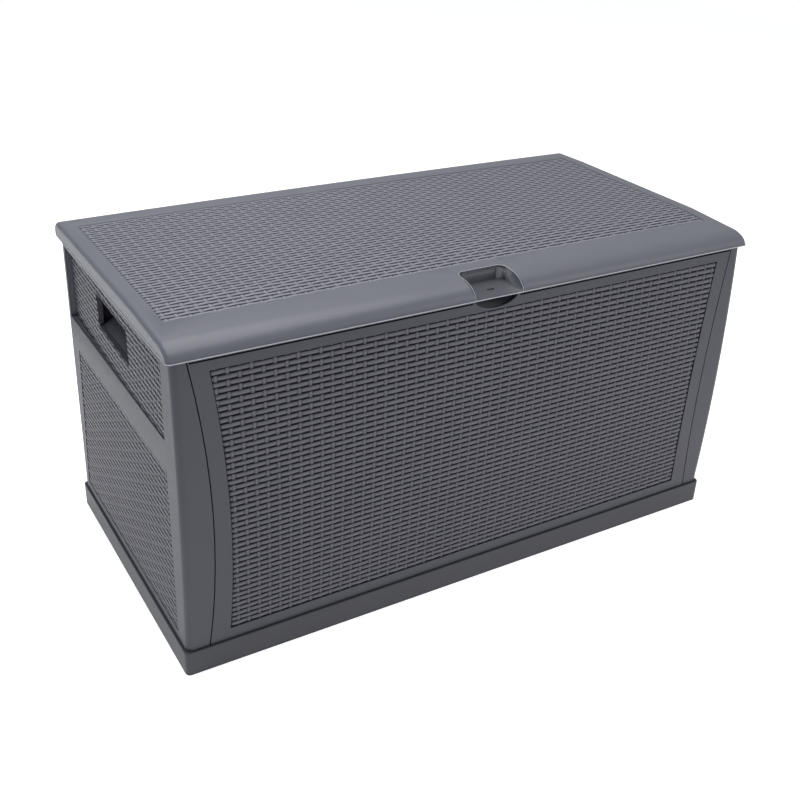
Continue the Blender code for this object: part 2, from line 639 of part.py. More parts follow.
def lid_profile(inset, open_below):
    """The lid's section in Y and Z, set in by a distance: nose, top and rear barrel."""
    nose_top = LID_HEIGHT - NOSE_DROP - inset
    reach = NOSE_START - LID_FRONT - inset
    points = arc(NOSE_START, LIP_HEIGHT, reach, nose_top - LIP_HEIGHT, 180, 90, NOSE_STEPS)
    points.append((NOSE_SLOPE, LID_HEIGHT - inset))
    points.append((AXIS_Y - 0.08, LID_HEIGHT - inset))
    radius = BARREL_RADIUS - inset
    if open_below:
        points += arc(AXIS_Y, AXIS_Z, radius, radius, 90, -90, 14)
        points += [(AXIS_Y, AXIS_Z - 0.05), (LID_FRONT + inset, AXIS_Z - 0.05)]
    else:
        foot = math.degrees(math.asin(max(-1.0, (LIP_HEIGHT - AXIS_Z) / radius)))
        points += arc(AXIS_Y, AXIS_Z, radius, radius, 90, foot, 12)
    return points


def lid_solid(name, inset, open_below, collection=cutters, mat=None):
    """The lid's outer form, or the same form set in: a loft with rounded ends and a crown."""
    half = LID_HALF_LENGTH - inset
    radius = max(LID_EDGE_RADIUS - inset, 0.002)
    angles = [math.radians(90 * i / END_STEPS) for i in range(END_STEPS + 1)]
    end = [(half - radius + radius * math.sin(a), radius * (1 - math.cos(a))) for a in angles]
    straight = half - radius
    middle = [(straight * (2 * i / CROWN_STEPS - 1), 0.0) for i in range(1, CROWN_STEPS)]
    stations = [(-x, extra) for x, extra in reversed(end)] + middle + end
    bm = bmesh.new()
    sections = []
    for x, extra in stations:
        section = []
        for y, z in lid_profile(inset + extra, open_below):
            share = max(0.0, (z - LIP_HEIGHT) / (LID_HEIGHT - LIP_HEIGHT))
            crown = LID_CROWN * share * (1 - (x / LID_HALF_LENGTH) ** 2)
            section.append(bm.verts.new((x, y, z + crown)))
        sections.append(section)
    for one, other in zip(sections, sections[1:]):
        for i in range(len(one)):
            bm.faces.new((one[i - 1], one[i], other[i], other[i - 1]))
    bm.faces.new(sections[0])
    bm.faces.new(sections[-1])
    return add_object(name, mesh_from(bm, name), collection, mat)


def notch_outline(grow):
    """Plan of the finger notch, open to the front, with rounded back corners."""
    radius = NOTCH_RADIUS + grow
    x = NOTCH_HALF + grow - radius
    y = NOTCH_BACK + grow - radius
    right = arc(x, y, radius, radius, 0, 90, 6)
    left = arc(-x, y, radius, radius, 90, 180, 6)
    return [(NOTCH_HALF + grow, -0.4)] + right + left + [(-NOTCH_HALF - grow, -0.4)]


lid_shell = lid_solid("lid_shell", 0.0, False, parts, resin)
lid_inner = lid_solid("lid_cavity", LID_WALL, True)
boolean(lid_inner, prism("notch_body", notch_outline(LID_WALL), "Z", NOTCH_FLOOR - LID_WALL, FAR))
lid_field_core = lid_solid("lid_field_core", FIELD_DEPTH, False)
lid_field = blocks("lid_field", [((-LID_FIELD_HALF, LID_FIELD_FRONT, AXIS_Z),
                                  (LID_FIELD_HALF, LID_FIELD_BACK, FAR))])
boolean(lid_field, lid_field_core)
boolean(lid_shell, lid_inner)
boolean(lid_shell, lid_field)
boolean(lid_shell, prism("notch_space", notch_outline(0.0), "Z", NOTCH_FLOOR, FAR))
boolean(lid_shell, lock_slot)
opening_top = AXIS_Z + BARREL_RADIUS * math.sin(HINGE_OPENING)
opening_half = KNUCKLE_HALF + TURN_GAP
boolean(lid_shell, blocks("hinge_openings", [
    ((s * HINGE_X - opening_half, AXIS_Y - 0.004, 0), (s * HINGE_X + opening_half, FAR, opening_top))
    for s in (-1, 1)]))
on_lid(lid_shell)

liner_x = half_length(RIM_HEIGHT) - 0.001
liner_bottom = RIM_HEIGHT + GAP
liner_front = -back_y(RIM_HEIGHT) + LINER_MARGIN + 0.004
liner_high = LID_HEIGHT - LID_WALL - GAP
liner = blocks("lid_liner", [((-liner_x, liner_front, liner_bottom), (liner_x, LINER_BACK, liner_high))],
               parts, resin_inner)
liner_slope = [(NOSE_SLOPE, liner_high), (liner_front - 0.01, liner_high - NOSE_DROP - 0.008),
               (liner_front - 0.01, FAR), (FAR, FAR), (FAR, LID_HEIGHT - BARREL_DROP - LID_WALL - 2 * GAP),
               (AXIS_Y, LID_HEIGHT - BARREL_DROP - LID_WALL - 2 * GAP), (AXIS_Y - 0.08, liner_high)]
boolean(liner, prism("liner_slope", liner_slope, "X", -FAR, FAR))
pockets = []
columns, rows = 8, 3
span_x = 2 * liner_x - RIB
span_y = LINER_BACK - CHEEK - liner_front - RIB
for i in range(columns):
    for j in range(rows):
        x0 = -liner_x + RIB + i * span_x / columns
        x1 = -liner_x + (i + 1) * span_x / columns
        y0 = liner_front + RIB + j * span_y / rows
        y1 = liner_front + (j + 1) * span_y / rows
        pockets.append(((x0, y0, liner_bottom + LINER_SKIN), (x1, y1, FAR)))
boolean(liner, blocks("liner_pockets", pockets))
notch_clear = NOTCH_HALF + LID_WALL + 0.002
boolean(liner, blocks("liner_notch", [((-notch_clear, -FAR, 0),
                                       (notch_clear, NOTCH_BACK + LID_WALL + 0.002, FAR))]))
boolean(liner, liner_hole_cut)
on_lid(liner)

# ---------------------------------------------------------------- hinges

for side, word in ((-1, "left"), (1, "right")):
    x = side * HINGE_X
    knuckle = rods(f"hinge_knuckle_{word}", [(x, AXIS_Y, AXIS_Z)], "X", KNUCKLE_RADIUS,
                   KNUCKLE_HALF, 24, parts, resin_inner)
    arm = blocks(f"knuckle_arm_{word}", [((x - KNUCKLE_HALF, ARM_BACK - ARM_THICKNESS, ARM_BOTTOM),
                                          (x + KNUCKLE_HALF, ARM_BACK, AXIS_Z - 0.002))])
    boolean(knuckle, arm, "UNION")
    boolean(knuckle, rods(f"knuckle_bore_{word}", [(x, AXIS_Y, AXIS_Z)], "X",
                          PIN_RADIUS + GAP, 0.1, 16))
    boolean(knuckle, hinge_hole_cut)

    inner = KNUCKLE_HALF + TURN_GAP
    bracket = blocks(f"lid_bracket_{word}", [(
        (x - inner - CHEEK, LINER_BACK + GAP, liner_bottom),
        (x + inner + CHEEK, LINER_BACK + GAP + CHEEK, LINER_TOP - 0.002))], parts, resin_inner)
    for edge in (-1, 1):
        cheek_x = sorted((x + edge * inner, x + edge * (inner + CHEEK)))
        boolean(bracket, blocks(f"cheek_{word}_{edge}", [(
            (cheek_x[0], LINER_BACK + GAP + CHEEK / 2, AXIS_Z - CHEEK_RADIUS * 0.4),
            (cheek_x[1], AXIS_Y, AXIS_Z + CHEEK_RADIUS))]), "UNION")
        boolean(bracket, rods(f"cheek_eye_{word}_{edge}", [((cheek_x[0] + cheek_x[1]) / 2, AXIS_Y, AXIS_Z)],
                              "X", CHEEK_RADIUS, CHEEK / 2, 20), "UNION")
    boolean(bracket, rods(f"cheek_bore_{word}", [(x, AXIS_Y, AXIS_Z)], "X", PIN_RADIUS + GAP, 0.1, 16))
    boolean(bracket, liner_hole_cut)
    on_lid(bracket)

    pin = rods(f"hinge_pin_{word}", [(x, AXIS_Y, AXIS_Z)], "X", PIN_RADIUS,
               inner + CHEEK + 0.002, 16, parts, steel)
    on_lid(pin)

for obj in parts.objects:
    if obj.name.startswith("hinge_screw_upper"):
        on_lid(obj)
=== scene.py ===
"""The looks of a garden storage box, moulded to look like woven rattan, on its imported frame."""
import math

import bmesh
import bpy
import numpy as np
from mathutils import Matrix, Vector
from mathutils.bvhtree import BVHTree


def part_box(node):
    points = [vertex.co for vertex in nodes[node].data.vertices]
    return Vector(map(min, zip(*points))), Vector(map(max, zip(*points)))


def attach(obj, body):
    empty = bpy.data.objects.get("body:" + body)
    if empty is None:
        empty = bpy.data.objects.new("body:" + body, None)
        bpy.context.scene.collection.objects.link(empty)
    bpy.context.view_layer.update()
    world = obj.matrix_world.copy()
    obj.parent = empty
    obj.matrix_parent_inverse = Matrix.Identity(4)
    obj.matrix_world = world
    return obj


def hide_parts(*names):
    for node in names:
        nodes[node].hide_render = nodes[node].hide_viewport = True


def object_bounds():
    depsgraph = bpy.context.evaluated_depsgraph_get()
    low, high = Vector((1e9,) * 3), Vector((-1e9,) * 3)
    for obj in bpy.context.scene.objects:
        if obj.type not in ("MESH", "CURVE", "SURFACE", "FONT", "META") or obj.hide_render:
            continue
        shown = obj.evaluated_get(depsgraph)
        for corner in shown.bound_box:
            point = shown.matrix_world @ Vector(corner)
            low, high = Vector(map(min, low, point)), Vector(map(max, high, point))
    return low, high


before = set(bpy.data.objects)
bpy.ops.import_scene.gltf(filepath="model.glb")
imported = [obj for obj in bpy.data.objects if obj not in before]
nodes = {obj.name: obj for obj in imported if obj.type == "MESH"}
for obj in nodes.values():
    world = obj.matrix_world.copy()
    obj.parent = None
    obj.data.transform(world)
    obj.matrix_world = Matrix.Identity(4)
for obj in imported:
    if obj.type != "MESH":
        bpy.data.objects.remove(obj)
cad_box = [list(corner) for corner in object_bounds()]

# ------------------------------------------------------------------ plinth
# The plinth is a hollow ring of injection-moulded polypropylene that stands on the ground and
# carries the walls. The mould gives it a fine even grain and slightly rounded edges.

MM = 0.001


def linear(hex_colour):
    """An sRGB hex colour as linear RGBA."""
    channels = [int(hex_colour[i:i + 2], 16) / 255 for i in (0, 2, 4)]
    bent = [c / 12.92 if c <= 0.04045 else ((c + 0.055) / 1.055) ** 2.4 for c in channels]
    return (*bent, 1.0)


def add(tree, kind, settings=None, links=None):
    """One shader node, with its properties or input values set and its inputs linked."""
    node = tree.nodes.new(kind)
    for key, value in (settings or {}).items():
        if isinstance(key, str) and hasattr(node, key):
            setattr(node, key, value)
        else:
            node.inputs[key].default_value = value
    for key, source in (links or {}).items():
        tree.links.new(source, node.inputs[key])
    return node


def moulded_polypropylene(name, shade, shadow, roughness, grain_depth=0.05, edge=0.9,
                          specular=0.3, woven=False):
    """Polypropylene straight from the mould: satin, with a fine grain and faint flow marks.

    shade is the colour of an open face and shadow that of painted shade in a crevice, where little
    light gets in. grain_depth and edge are in millimetres: how deep the grain is and how far an
    edge is rounded. A woven one has its reflection faded out in its crevices as painted shade.
    Polypropylene's refractive index is 1.49.
    """
    mat = bpy.data.materials.new(name)
    mat.use_nodes = True
    tree = mat.node_tree
    shader = tree.nodes["Principled BSDF"]
    shader.inputs["IOR"].default_value = 1.49
    shader.inputs["Specular IOR Level"].default_value = specular
    place = add(tree, "ShaderNodeTexCoord").outputs["Object"]
    # flow marks: soft clouds about 90 mm across, a little darker and lighter than the shade
    clouds = add(tree, "ShaderNodeTexNoise",
                 {"Scale": 1 / (90 * MM), "Detail": 3.0, "Roughness": 0.6}, {"Vector": place})
    # patches about 7 mm across, some glossier than others
    patches = add(tree, "ShaderNodeTexNoise",
                  {"Scale": 1 / (7 * MM), "Detail": 4.0, "Roughness": 0.65}, {"Vector": place})
    # the grain is about 0.6 mm, too fine to show, so it is drawn at 1.6 mm
    grain = add(tree, "ShaderNodeTexNoise",
                {"Scale": 1 / (1.6 * MM), "Detail": 2.0, "Roughness": 0.7}, {"Vector": place})
    darker = [c * 0.93 for c in linear(shade)[:3]] + [1.0]
    lighter = [c * 1.07 for c in linear(shade)[:3]] + [1.0]
    mottled = add(tree, "ShaderNodeMix", {"data_type": "RGBA", 6: darker, 7: lighter},
                  {0: clouds.outputs["Fac"]})
    relief = add(tree, "ShaderNodeAttribute", {"attribute_name": "hollow"})
    # painted shade: the crevices of the weave and the notch's floor take the shadow colour where the
    # hollow attribute says so
    hollow = add(tree, "ShaderNodeMix", {"data_type": "RGBA", 7: linear(shadow)},
                 {0: relief.outputs["Fac"], 6: mottled.outputs[2]})
    # painted shade too: the joints and inner corners take the shadow colour within 8 mm of the next
    # face
    shelter = add(tree, "ShaderNodeAmbientOcclusion", {"samples": 6, "Distance": 8 * MM})
    corner = add(tree, "ShaderNodeMix", {"data_type": "RGBA", 6: linear(shadow)},
                 {0: shelter.outputs["AO"], 7: hollow.outputs[2]})
    tree.links.new(corner.outputs[2], shader.inputs["Base Color"])
    if woven:
        # painted shade in the reflection: it fades out where the weave takes painted shade
        shaded_specular = add(tree, "ShaderNodeMapRange", {"To Min": specular, "To Max": 0.02},
                    {"Value": relief.outputs["Fac"]})
        tree.links.new(shaded_specular.outputs["Result"], shader.inputs["Specular IOR Level"])
    gloss = add(tree, "ShaderNodeMapRange", {"To Min": roughness - 0.05, "To Max": roughness + 0.09},
                {"Value": patches.outputs["Fac"]})
    tree.links.new(gloss.outputs["Result"], shader.inputs["Roughness"])
    rounded = add(tree, "ShaderNodeBevel", {"samples": 4, "Radius": edge * MM})
    bump = add(tree, "ShaderNodeBump", {"Strength": 0.35, "Distance": grain_depth * MM},
               {"Height": grain.outputs["Fac"], "Normal": rounded.outputs["Normal"]})
    tree.links.new(bump.outputs["Normal"], shader.inputs["Normal"])
    return mat


def dress(name, mat):
    """Gives a node of the frame one material and leaves its form alone."""
    mesh = nodes[name].data
    mesh.materials.clear()
    mesh.materials.append(mat)


CREASE = math.radians(32)    # an edge sharper than this stays a sharp line
# painted shade: a point of the notch's floor goes this far towards the shadow colour
DARKENED = 0.6               # how far a darkened point goes towards the shadow colour


def moulding(name, node, body, mat, cuts=(), dark=None):
    """A moulded piece in the form of its frame node, with its round stretches shaded round.

    cuts are places along X where the faces are divided, to keep the shading even beside a hole.
    dark tells which points take painted shade, in the shadow colour.
    """
    bm = bmesh.new()
    bm.from_mesh(nodes[node].data)
    bmesh.ops.remove_doubles(bm, verts=bm.verts, dist=0.01 * MM)
    bmesh.ops.dissolve_limit(bm, angle_limit=math.radians(0.05), verts=bm.verts, edges=bm.edges)
    for x in cuts:
        bmesh.ops.bisect_plane(bm, geom=bm.verts[:] + bm.edges[:] + bm.faces[:],
                               plane_co=(x, 0, 0), plane_no=(1, 0, 0))
    mesh = bpy.data.meshes.new(name)
    bm.to_mesh(mesh)
    bm.free()
    if dark:
        hollow = mesh.attributes.new("hollow", "FLOAT", "POINT")
        hollow.data.foreach_set("value", [DARKENED * dark(vert.co) for vert in mesh.vertices])
    mesh.shade_smooth()
    mesh.set_sharp_from_angle(angle=CREASE)
    mesh.materials.clear()
    mesh.materials.append(mat)
    piece = bpy.data.objects.new(name, mesh)
    bpy.context.scene.collection.objects.link(piece)
    even = piece.modifiers.new("even shading", "WEIGHTED_NORMAL")
    even.keep_sharp = True
    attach(piece, body)
    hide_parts(node)
    return piece


plinth_resin = moulded_polypropylene("plinth moulded polypropylene", "3F3F44", "17161B", 0.46)
moulding("plinth", "base_plinth", "box", plinth_resin)

# ------------------------------------------------------------------ inner mouldings
# Floor, seam strips, lid liner and hinge mouldings are polypropylene too. Nobody sees them with
# the lid shut, so their mould needs no polish, and they are drawn duller for that.

inner_resin = moulded_polypropylene("inner moulded polypropylene", "4C4C52", "232228", 0.58,
                                    grain_depth=0.08, edge=0.4)
for name in nodes:
    if name.startswith(("floor", "seam_strip", "lid_liner", "lid_bracket", "hinge_knuckle")):
        dress(name, inner_resin)

# ------------------------------------------------------------------ wall panels
# Four moulded polypropylene panels stand on the plinth. The front one is bowed, and the two
# ends wrap round the corners, so that curved seams show at the front and the back.

panel_resin = moulded_polypropylene("panel moulded polypropylene", "4A4A51", "131217", 0.42,
                                    specular=0.2)
for name in ("front_panel", "back_panel", "side_panel_left", "side_panel_right"):
    moulding(name.replace("panel", "wall"), name, "box", panel_resin)

# the same resin as the frame, drawn a shade paler on the strands as painted light for the overhead
# light they catch, with painted shade in the shadow colour between them
weave_resin = moulded_polypropylene("woven moulded polypropylene", "605F67", "0E0D12", 0.40,
                                    specular=0.22, woven=True)

# ------------------------------------------------------------------ hand-holds
# A bent plate of the same polypropylene, moulded on its own, sits behind the opening in each
# end and forms the ledge that the fingers go under.

for end in ("left", "right"):
    moulding(f"hand_hold_{end}", f"grip_pocket_{end}", "box", panel_resin)

# ------------------------------------------------------------------ woven fields
# The weave is moulded in relief on each panel: flat strands run along the face and pass over
# one upright stake and under the next, and a row further on it is the other way round.

STAKE_PITCH = 20.0 * MM
ROW_PITCH = 10.48 * MM
STAKE_HALF = 3.6 * MM                           # half the width of a stake
STRAND_HALF = 4.05 * MM                         # and of a strand
STRAND_LOW, STRAND_HIGH = 0.6 * MM, 2.45 * MM   # height of a strand under and over a stake
STAKE_LOW, STAKE_HIGH = 0.4 * MM, 1.8 * MM
CLIMB_START, CLIMB = 2.6 * MM, 3.4 * MM         # a strand comes up steeply beside a stake
ARCH_START, ARCH = 3 * MM, 16 * MM              # and then arches gently over the next one
ARCH_SHARE = 0.4
FADE = 1.2 * MM                                 # the relief runs out at the field's two ends
SKIN = 0.05 * MM                                # the sheet lies this far off the panel
# painted shadow: the dark drawn under a strand's lower edge reaches as far as OVERHANG
OVERHANG = 2.1 * MM                             # a strand shades the one below over this far
# lines of the sheet's grid beside each stake and row, closer where the relief bends more
STAKE_STATIONS = np.array([-5.4, -3.9, -3.3, -1.4, 1.4, 3.3, 3.9, 5.4, 10.0]) * MM
ROW_STATIONS = np.array([-4.6, -4.0, -3.4, -1.6, 1.2, 3.3, 4.0]) * MM


def rounded_top(distance, half):
    """1 in the middle of a strand and 0 at its edge, with rounded shoulders."""
    return np.sqrt(np.clip(1 - np.clip(np.abs(distance) / half, 0, 1) ** 2.6, 0, 1))


def smooth(share):
    """A soft step from 0 to 1."""
    share = np.clip(share, 0, 1)
    return share * share * (3 - 2 * share)


def weave_height(u, v):
    """Height of the relief over the panel, at a distance along the strands and across them."""
    stake = np.round(u / STAKE_PITCH)
    row = np.round(v / ROW_PITCH)
    du = u - stake * STAKE_PITCH
    dv = v - row * ROW_PITCH
    over = (stake + row) % 2 == 0
    from_under = np.where(over, STAKE_PITCH - np.abs(du), np.abs(du))
    rise = (1 - ARCH_SHARE) * smooth((from_under - CLIMB_START) / CLIMB)
    rise += ARCH_SHARE * smooth((from_under - ARCH_START) / ARCH)
    strand = (STRAND_LOW + (STRAND_HIGH - STRAND_LOW) * rise) * rounded_top(dv, STRAND_HALF)
    swing = np.where(over, -1, 1) * np.cos(math.pi * dv / ROW_PITCH)
    middle, half = (STAKE_HIGH + STAKE_LOW) / 2, (STAKE_HIGH - STAKE_LOW) / 2
    stakes = (middle + half * swing) * rounded_top(du, STAKE_HALF)
    return np.maximum(strand, stakes)


def stations(low, high, pitch, offsets, phase):
    """Grid lines between two ends that follow the pattern's own edges."""
    first, last = math.floor((low - phase) / pitch) - 1, math.ceil((high - phase) / pitch) + 1
    lines = np.concatenate([phase + i * pitch + offsets for i in range(first, last + 1)])
    spare = 0.2 * MM
    lines = lines[(lines > low + spare) & (lines < high - spare)]
    return np.concatenate([[low], lines, [high]])


def woven_sheet(name, node, body, axes, low, high, span, mat, part=(-1, 1),
                top_row=None, relief=1.0):
    """One sheet of moulded weave, laid on the recess in a panel.

    axes are the directions along the strands, across them and out of the panel. low and high
    are the field's limits across the strands, span gives its two ends there, and part is the
    stretch of it that this sheet covers. top_row is the middle of one gap between two rows,
    and relief scales the height of the strands.
    """
    along, across, out = (Vector(axis) for axis in axes)
    panel = nodes[node].data
    surface = BVHTree.FromPolygons([vert.co for vert in panel.vertices],
                                   [face.vertices for face in panel.polygons])
    shift = (high if top_row is None else top_row) - ROW_PITCH / 2
    vs = stations(low, high, ROW_PITCH, ROW_STATIONS, shift)
    whole = np.array([span(v) for v in vs])
    ends = np.clip(whole, *part)
    us = stations(ends[:, 0].min(), ends[:, 1].max(), STAKE_PITCH, STAKE_STATIONS, 0.0)
    u = np.clip(us[None, :], ends[:, :1], ends[:, 1:])
    v = np.repeat(vs[:, None], len(us), axis=1)
    height = weave_height(u, v - shift)
    above = weave_height(u, v - shift + OVERHANG)
    rim = np.minimum(u - whole[:, :1], whole[:, 1:] - u)
    height *= np.clip(rim / FADE, 0, 1) ** 0.5
    height[[0, -1]] = 0
    points = []
    for i in range(u.shape[0]):
        inner_v = min(max(v[i, 0], low + MM), high - MM)
        for j in range(u.shape[1]):
            inner_u = min(max(u[i, j], ends[i, 0] + MM), ends[i, 1] - MM)
            start = along * inner_u + across * inner_v + out
            spot = surface.ray_cast(start, -out)[0]
            lift = spot.dot(out) + relief * height[i, j] + SKIN
            points.append(along * u[i, j] + across * v[i, j] + out * lift)
    cols = len(us)
    moved = np.diff(u, axis=1) > 1e-7
    faces = []
    for i in range(len(vs) - 1):
        for j in range(cols - 1):
            if moved[i, j] or moved[i + 1, j]:
                a = i * cols + j
                faces.append((a, a + 1, a + cols + 1, a + cols))
    mesh = bpy.data.meshes.new(name)
    mesh.from_pydata(points, [], faces)
    # painted shade: a painted shadow under a strand's lower edge, and painted shade wherever the
    # relief is low
    hollow = mesh.attributes.new("hollow", "FLOAT", "POINT")
    sheltered = 1.1 * smooth((above - height) / (0.9 * MM)) + 0.9 * smooth(1.2 - height / (1.1 * MM))
    hollow.data.foreach_set("value", np.clip(sheltered, 0, 1).ravel().astype(np.float32))
    bm = bmesh.new()
    bm.from_mesh(mesh)
    bmesh.ops.remove_doubles(bm, verts=bm.verts, dist=0.001 * MM)
    bmesh.ops.delete(bm, geom=[vert for vert in bm.verts if not vert.link_faces], context="VERTS")
    if along.cross(across).dot(out) < 0:
        bmesh.ops.reverse_faces(bm, faces=bm.faces)
    bm.to_mesh(mesh)
    bm.free()
    mesh.shade_smooth()
    mesh.set_sharp_from_angle(angle=math.radians(50))
    mesh.materials.append(mat)
    piece = bpy.data.objects.new(name, mesh)
    bpy.context.scene.collection.objects.link(piece)
    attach(piece, body)
    return piece


X, Y, Z = Vector((1, 0, 0)), Vector((0, 1, 0)), Vector((0, 0, 1))


def waist(z, half, radius, at):
    """Half width at a height of a field whose ends are arcs, nearest the middle at one height."""
    return half + radius - math.sqrt(radius ** 2 - (z - at) ** 2)


END = cad_box[1][0]
FIELD_LOW, FIELD_HIGH = 0.0725, 0.5785
FIELD_INSET, FIELD_RADIUS, FIELD_WAIST = 0.092, 2.4, 0.26
BACK_DROP = 0.035            # the field on the back ends this much lower
TOP_GAP = 1.5 * MM           # from the front field's top down to the middle of a gap


def wall_span(z):
    """The two ends of the field on the front and the back."""
    half = waist(z, END - FIELD_INSET, FIELD_RADIUS, FIELD_WAIST)
    return -half, half


for face, out, high in (("front", -Y, FIELD_HIGH), ("back", Y, FIELD_HIGH - BACK_DROP)):
    for word, part in (("left", (-1, 0)), ("right", (0, 1))):
        woven_sheet(f"{face}_weave_{word}", f"{face}_panel", "box", (X, Z, out), FIELD_LOW, high,
                    wall_span, weave_resin, part, FIELD_HIGH - TOP_GAP)

SIDE_LOW, RAIL_LOW, RAIL_HIGH = 0.066, 0.387, 0.446
SIDE_FRONT, SIDE_BACK, FRONT_LEAN, FLARE = -0.258, 0.241, 0.008, 0.030
RECESS_FRONT, RECESS_BACK, RECESS_TOP = -0.250, 0.275, 0.588
GRIP_FRONT, GRIP_BACK, GRIP_LOW, GRIP_TOP = -0.079, 0.098, 0.499, 0.562


def lower_span(z):
    """The two ends of the field below the rail, which both lean out towards the ground."""
    share = (z - SIDE_LOW) / (RAIL_LOW - SIDE_LOW)
    return SIDE_FRONT + FRONT_LEAN * share, SIDE_BACK + FLARE * (1 - share)


for end, out in (("left", -X), ("right", X)):
    woven_sheet(f"lower_weave_{end}", f"side_panel_{end}", "box", (Y, Z, out), SIDE_LOW, RAIL_LOW,
                lower_span, weave_resin)
    # above the rail the weave goes round the hand-hold, in four sheets
    for word, front, back, low, high in (
            ("front", RECESS_FRONT, GRIP_FRONT, RAIL_HIGH, RECESS_TOP),
            ("back", GRIP_BACK, RECESS_BACK, RAIL_HIGH, RECESS_TOP),
            ("under", GRIP_FRONT, GRIP_BACK, RAIL_HIGH, GRIP_LOW),
            ("over", GRIP_FRONT, GRIP_BACK, GRIP_TOP, RECESS_TOP)):
        woven_sheet(f"grip_weave_{word}_{end}", f"side_panel_{end}", "box", (Y, Z, out), low, high,
                    lambda z: (RECESS_FRONT, RECESS_BACK), weave_resin,
                    (front, back), RECESS_TOP)

# ------------------------------------------------------------------ lock plate and finger cup
# A polypropylene cup closes the hole behind the front panel's scoop, and a zinc-plated steel
# plate under the lid's slot takes a padlock. Screws and hinge pins are zinc-plated too.

moulding("scoop_cup", "finger_cup", "box", panel_resin)

# zinc plating is pale and faintly clouded, here in clouds about 2 mm across
zinc = bpy.data.materials.new("zinc plated steel")
zinc.use_nodes = True
zinc_shader = zinc.node_tree.nodes["Principled BSDF"]
zinc_shader.inputs["Metallic"].default_value = 1.0
zinc_shader.inputs["Base Color"].default_value = linear("A9ABAF")
zinc_place = add(zinc.node_tree, "ShaderNodeTexCoord").outputs["Object"]
zinc_cloud = add(zinc.node_tree, "ShaderNodeTexNoise", {"Scale": 1 / (2 * MM), "Detail": 3.0},
                 {"Vector": zinc_place})
zinc_gloss = add(zinc.node_tree, "ShaderNodeMapRange", {"To Min": 0.25, "To Max": 0.45},
                 {"Value": zinc_cloud.outputs["Fac"]})
zinc.node_tree.links.new(zinc_gloss.outputs["Result"], zinc_shader.inputs["Roughness"])
for name in nodes:
    if "screw" in name or "pin" in name or name == "lock_plate":
        dress(name, zinc)

# ------------------------------------------------------------------ lid
# The lid is one polypropylene moulding: a woven top with a smooth border that rolls over into
# the nose at the front and the hinge barrel at the back, and a notch for fingers and padlock.

lid_resin = moulded_polypropylene("lid moulded polypropylene", "5D5E65", "2B2A31", 0.36)
# as on the walls, the strands are drawn paler than the border as painted light, with painted shade
# between them
lid_weave_resin = moulded_polypropylene("lid woven polypropylene", "74757D", "3A3941", 0.38,
                                        woven=True)
NOTCH_HALF, NOTCH_BACK, NOTCH_FLOOR = 0.050, -0.236, 0.6073


def on_notch_floor(spot):
    """Whether a point of the lid lies on the floor of its notch."""
    within = abs(spot.x) < NOTCH_HALF + MM and spot.y < NOTCH_BACK + MM
    return within and abs(spot.z - NOTCH_FLOOR) < MM


# the notch's floor takes painted shade in the shadow colour
moulding("lid_cover", "lid_shell", "lid", lid_resin,
         cuts=(-0.062, -0.054, 0.054, 0.062), dark=on_notch_floor)
LID_FIELD_FRONT, LID_FIELD_BACK, LID_FIELD_END = -0.212, 0.250, 0.568
LID_RELIEF = 0.6             # flatter than on the walls, so that it stays below the lid's top
for word, part in (("left", (-1, 0)), ("right", (0, 1))):
    woven_sheet(f"lid_weave_{word}", "lid_shell", "lid", (X, Y, Z), LID_FIELD_FRONT, LID_FIELD_BACK,
                lambda y: (-LID_FIELD_END, LID_FIELD_END), lid_weave_resin, part,
                relief=LID_RELIEF)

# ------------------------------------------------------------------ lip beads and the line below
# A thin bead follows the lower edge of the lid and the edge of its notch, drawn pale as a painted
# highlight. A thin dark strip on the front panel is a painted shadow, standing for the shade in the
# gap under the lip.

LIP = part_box("lid_shell")[0][2]
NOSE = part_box("lid_shell")[0][1]
LID_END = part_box("lid_shell")[1][0]


def rib(name, body, route, radius, mat):
    """A thin round rib along a route."""
    curve = bpy.data.curves.new(name, "CURVE")
    curve.dimensions = "3D"
    curve.bevel_depth = radius
    curve.bevel_resolution = 3
    curve.use_fill_caps = True
    line = curve.splines.new("POLY")
    line.points.add(len(route) - 1)
    for point, place in zip(line.points, route):
        point.co = (*place, 1.0)
    curve.materials.append(mat)
    piece = bpy.data.objects.new(name, curve)
    bpy.context.scene.collection.objects.link(piece)
    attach(piece, body)
    return piece


# painted highlight: the beads are paler than the lid, as a sharp moulded edge looks where it catches
# the light
bead_resin = moulded_polypropylene("bead moulded polypropylene", "A3A4AC", "35353C", 0.34)
BEAD = 1.0 * MM              # radius of the bead
CORNER = 7 * MM              # radius of its turn at the nose's ends
BEAD_BACK = 0.25             # where it ends on the lid's two sides
quarter = [math.radians(90 * i / 6) for i in range(7)]
half_route = [(LID_END - CORNER + CORNER * math.sin(a), NOSE + CORNER - CORNER * math.cos(a),
               LIP + BEAD) for a in quarter]
half_route.append((LID_END, BEAD_BACK, LIP + BEAD))
route = [(-x, y, z) for x, y, z in reversed(half_route)] + half_route
rib("lip_bead", "lid", route, BEAD, bead_resin)

# the notch has a finer bead round its top edge, up over the nose and back down
NOSE_REACH, NOSE_RISE, CROWN = 42.5 * MM, 24.5 * MM, 2.4 * MM
TOP_SLOPE = 0.054            # the lid's top still climbs this much behind the nose
ROUND = 16 * MM              # radius of the notch's back corners
NOTCH_BEAD, SUNK = 0.6 * MM, 0.2 * MM


def nose_top(y):
    """Height of the lid's top over the notch's edge, from the front to the notch's back."""
    share = min(max((y - NOSE) / NOSE_REACH, 0.0), 1.0)
    beyond = max(0.0, y - NOSE - NOSE_REACH) * TOP_SLOPE
    return LIP + (NOSE_RISE + CROWN) * math.sqrt(1 - (1 - share) ** 2) + beyond


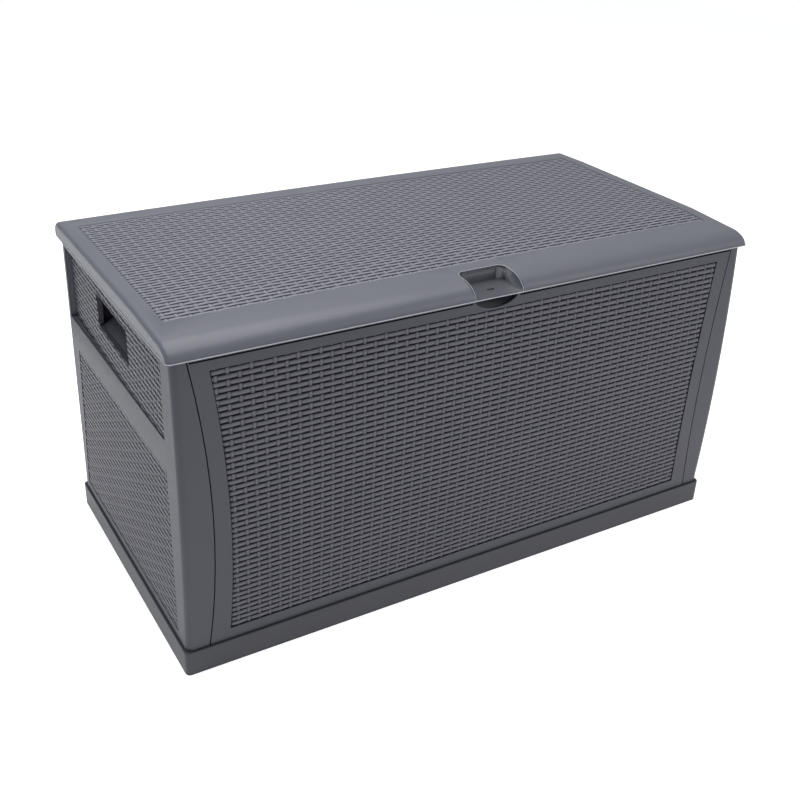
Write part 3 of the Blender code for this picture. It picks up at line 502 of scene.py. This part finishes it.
side_route = [NOSE + (NOTCH_BACK - ROUND - NOSE) * (i / 10) ** 2 for i in range(11)]
edge = [(NOTCH_HALF, y) for y in side_route]
edge += [(NOTCH_HALF - ROUND + ROUND * math.cos(a), NOTCH_BACK - ROUND + ROUND * math.sin(a))
         for a in quarter[1:]]
edge += [(-x, y) for x, y in reversed(edge)]
rib("notch_bead", "lid", [(x, y, nose_top(y) - SUNK) for x, y in edge], NOTCH_BEAD, bead_resin)

# painted shadow: near black and without gloss, so that it reads as the shaded gap under the lip and
# not as a strip
shadow_strip_resin = moulded_polypropylene("shaded gap polypropylene", "100F13", "0B0A0E", 0.8,
                                  specular=0.02)
STRIP, STRIP_DROP = 1.3 * MM, 7.2 * MM          # its radius, and how far below the lip it runs
STRIP_INNER, STRIP_OUTER = 0.050, 0.560         # from beside the scoop to the corner
face_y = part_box("finger_cup")[0][1] - 5.0 * MM  # the front panel's face, before the cup
for word, side in (("left", -1), ("right", 1)):
    route = [(side * x, face_y, LIP - STRIP_DROP) for x in (STRIP_INNER, STRIP_OUTER)]
    rib(f"lip_shadow_strip_{word}", "box", route, STRIP, shadow_strip_resin)

# ------------------------------------------------------------------ floor, light and camera
# A plain white floor that glows a little, under a pale world. A broad soft light hangs
# overhead, a small blue one stands at the left and a larger one at the front right.

bpy.ops.mesh.primitive_plane_add(size=12, location=(0, 0, -0.0005))
ground = bpy.context.object
ground.name = "studio_floor"
paint = bpy.data.materials.new("white studio floor")
paint.use_nodes = True
paint_shader = paint.node_tree.nodes["Principled BSDF"]
paint_shader.inputs["Base Color"].default_value = linear("F4F4F4")
paint_shader.inputs["Roughness"].default_value = 0.8
paint_shader.inputs["Emission Color"].default_value = (1, 1, 1, 1)
paint_shader.inputs["Emission Strength"].default_value = 0.62
ground.data.materials.append(paint)

world = bpy.data.worlds.new("studio")
bpy.context.scene.world = world
world.use_nodes = True
# white to look at, but dimmer and a little blue as a light
sky = world.node_tree
backdrop = sky.nodes["Background"]
backdrop.inputs["Color"].default_value = (1, 1, 1, 1)
dim = add(sky, "ShaderNodeBackground", {"Color": (0.93, 0.96, 1.0, 1.0), "Strength": 0.42})
seen = add(sky, "ShaderNodeLightPath").outputs["Is Camera Ray"]
either = add(sky, "ShaderNodeMixShader", {},
             {0: seen, 1: dim.outputs[0], 2: backdrop.outputs[0]})
sky.links.new(either.outputs[0], sky.nodes["World Output"].inputs["Surface"])


def softbox(name, place, aim, size, power, colour=(1.0, 1.0, 1.0)):
    """A square area light that faces a point."""
    lamp = bpy.data.lights.new(name, "AREA")
    lamp.size = size
    lamp.energy = power
    lamp.color = colour
    obj = bpy.data.objects.new(name, lamp)
    obj.location = place
    obj.rotation_euler = (Vector(aim) - Vector(place)).to_track_quat("-Z", "Y").to_euler()
    bpy.context.scene.collection.objects.link(obj)


softbox("overhead", (-0.2, 0.4, 2.6), (0, 0, 0.4), 2.4, 72)
softbox("left gleam", (-2.6, -0.7, 1.9), (-0.5, 0, 0.4), 0.9, 4, (0.45, 0.65, 1.0))
softbox("front right", (2.2, -2.6, 2.0), (0.1, 0, 0.3), 1.6, 26)

view = bpy.data.cameras.new("camera")
view.sensor_width = 36.0
view.lens = 48.28
camera = bpy.data.objects.new("camera", view)
camera.location = (-1.0384, -1.6684, 1.3319)
camera.rotation_euler = [math.radians(a) for a in (61.1493, -2.2865, -30.5434)]
bpy.context.scene.collection.objects.link(camera)
bpy.context.scene.camera = camera
bpy.context.scene.view_settings.view_transform = "Standard"
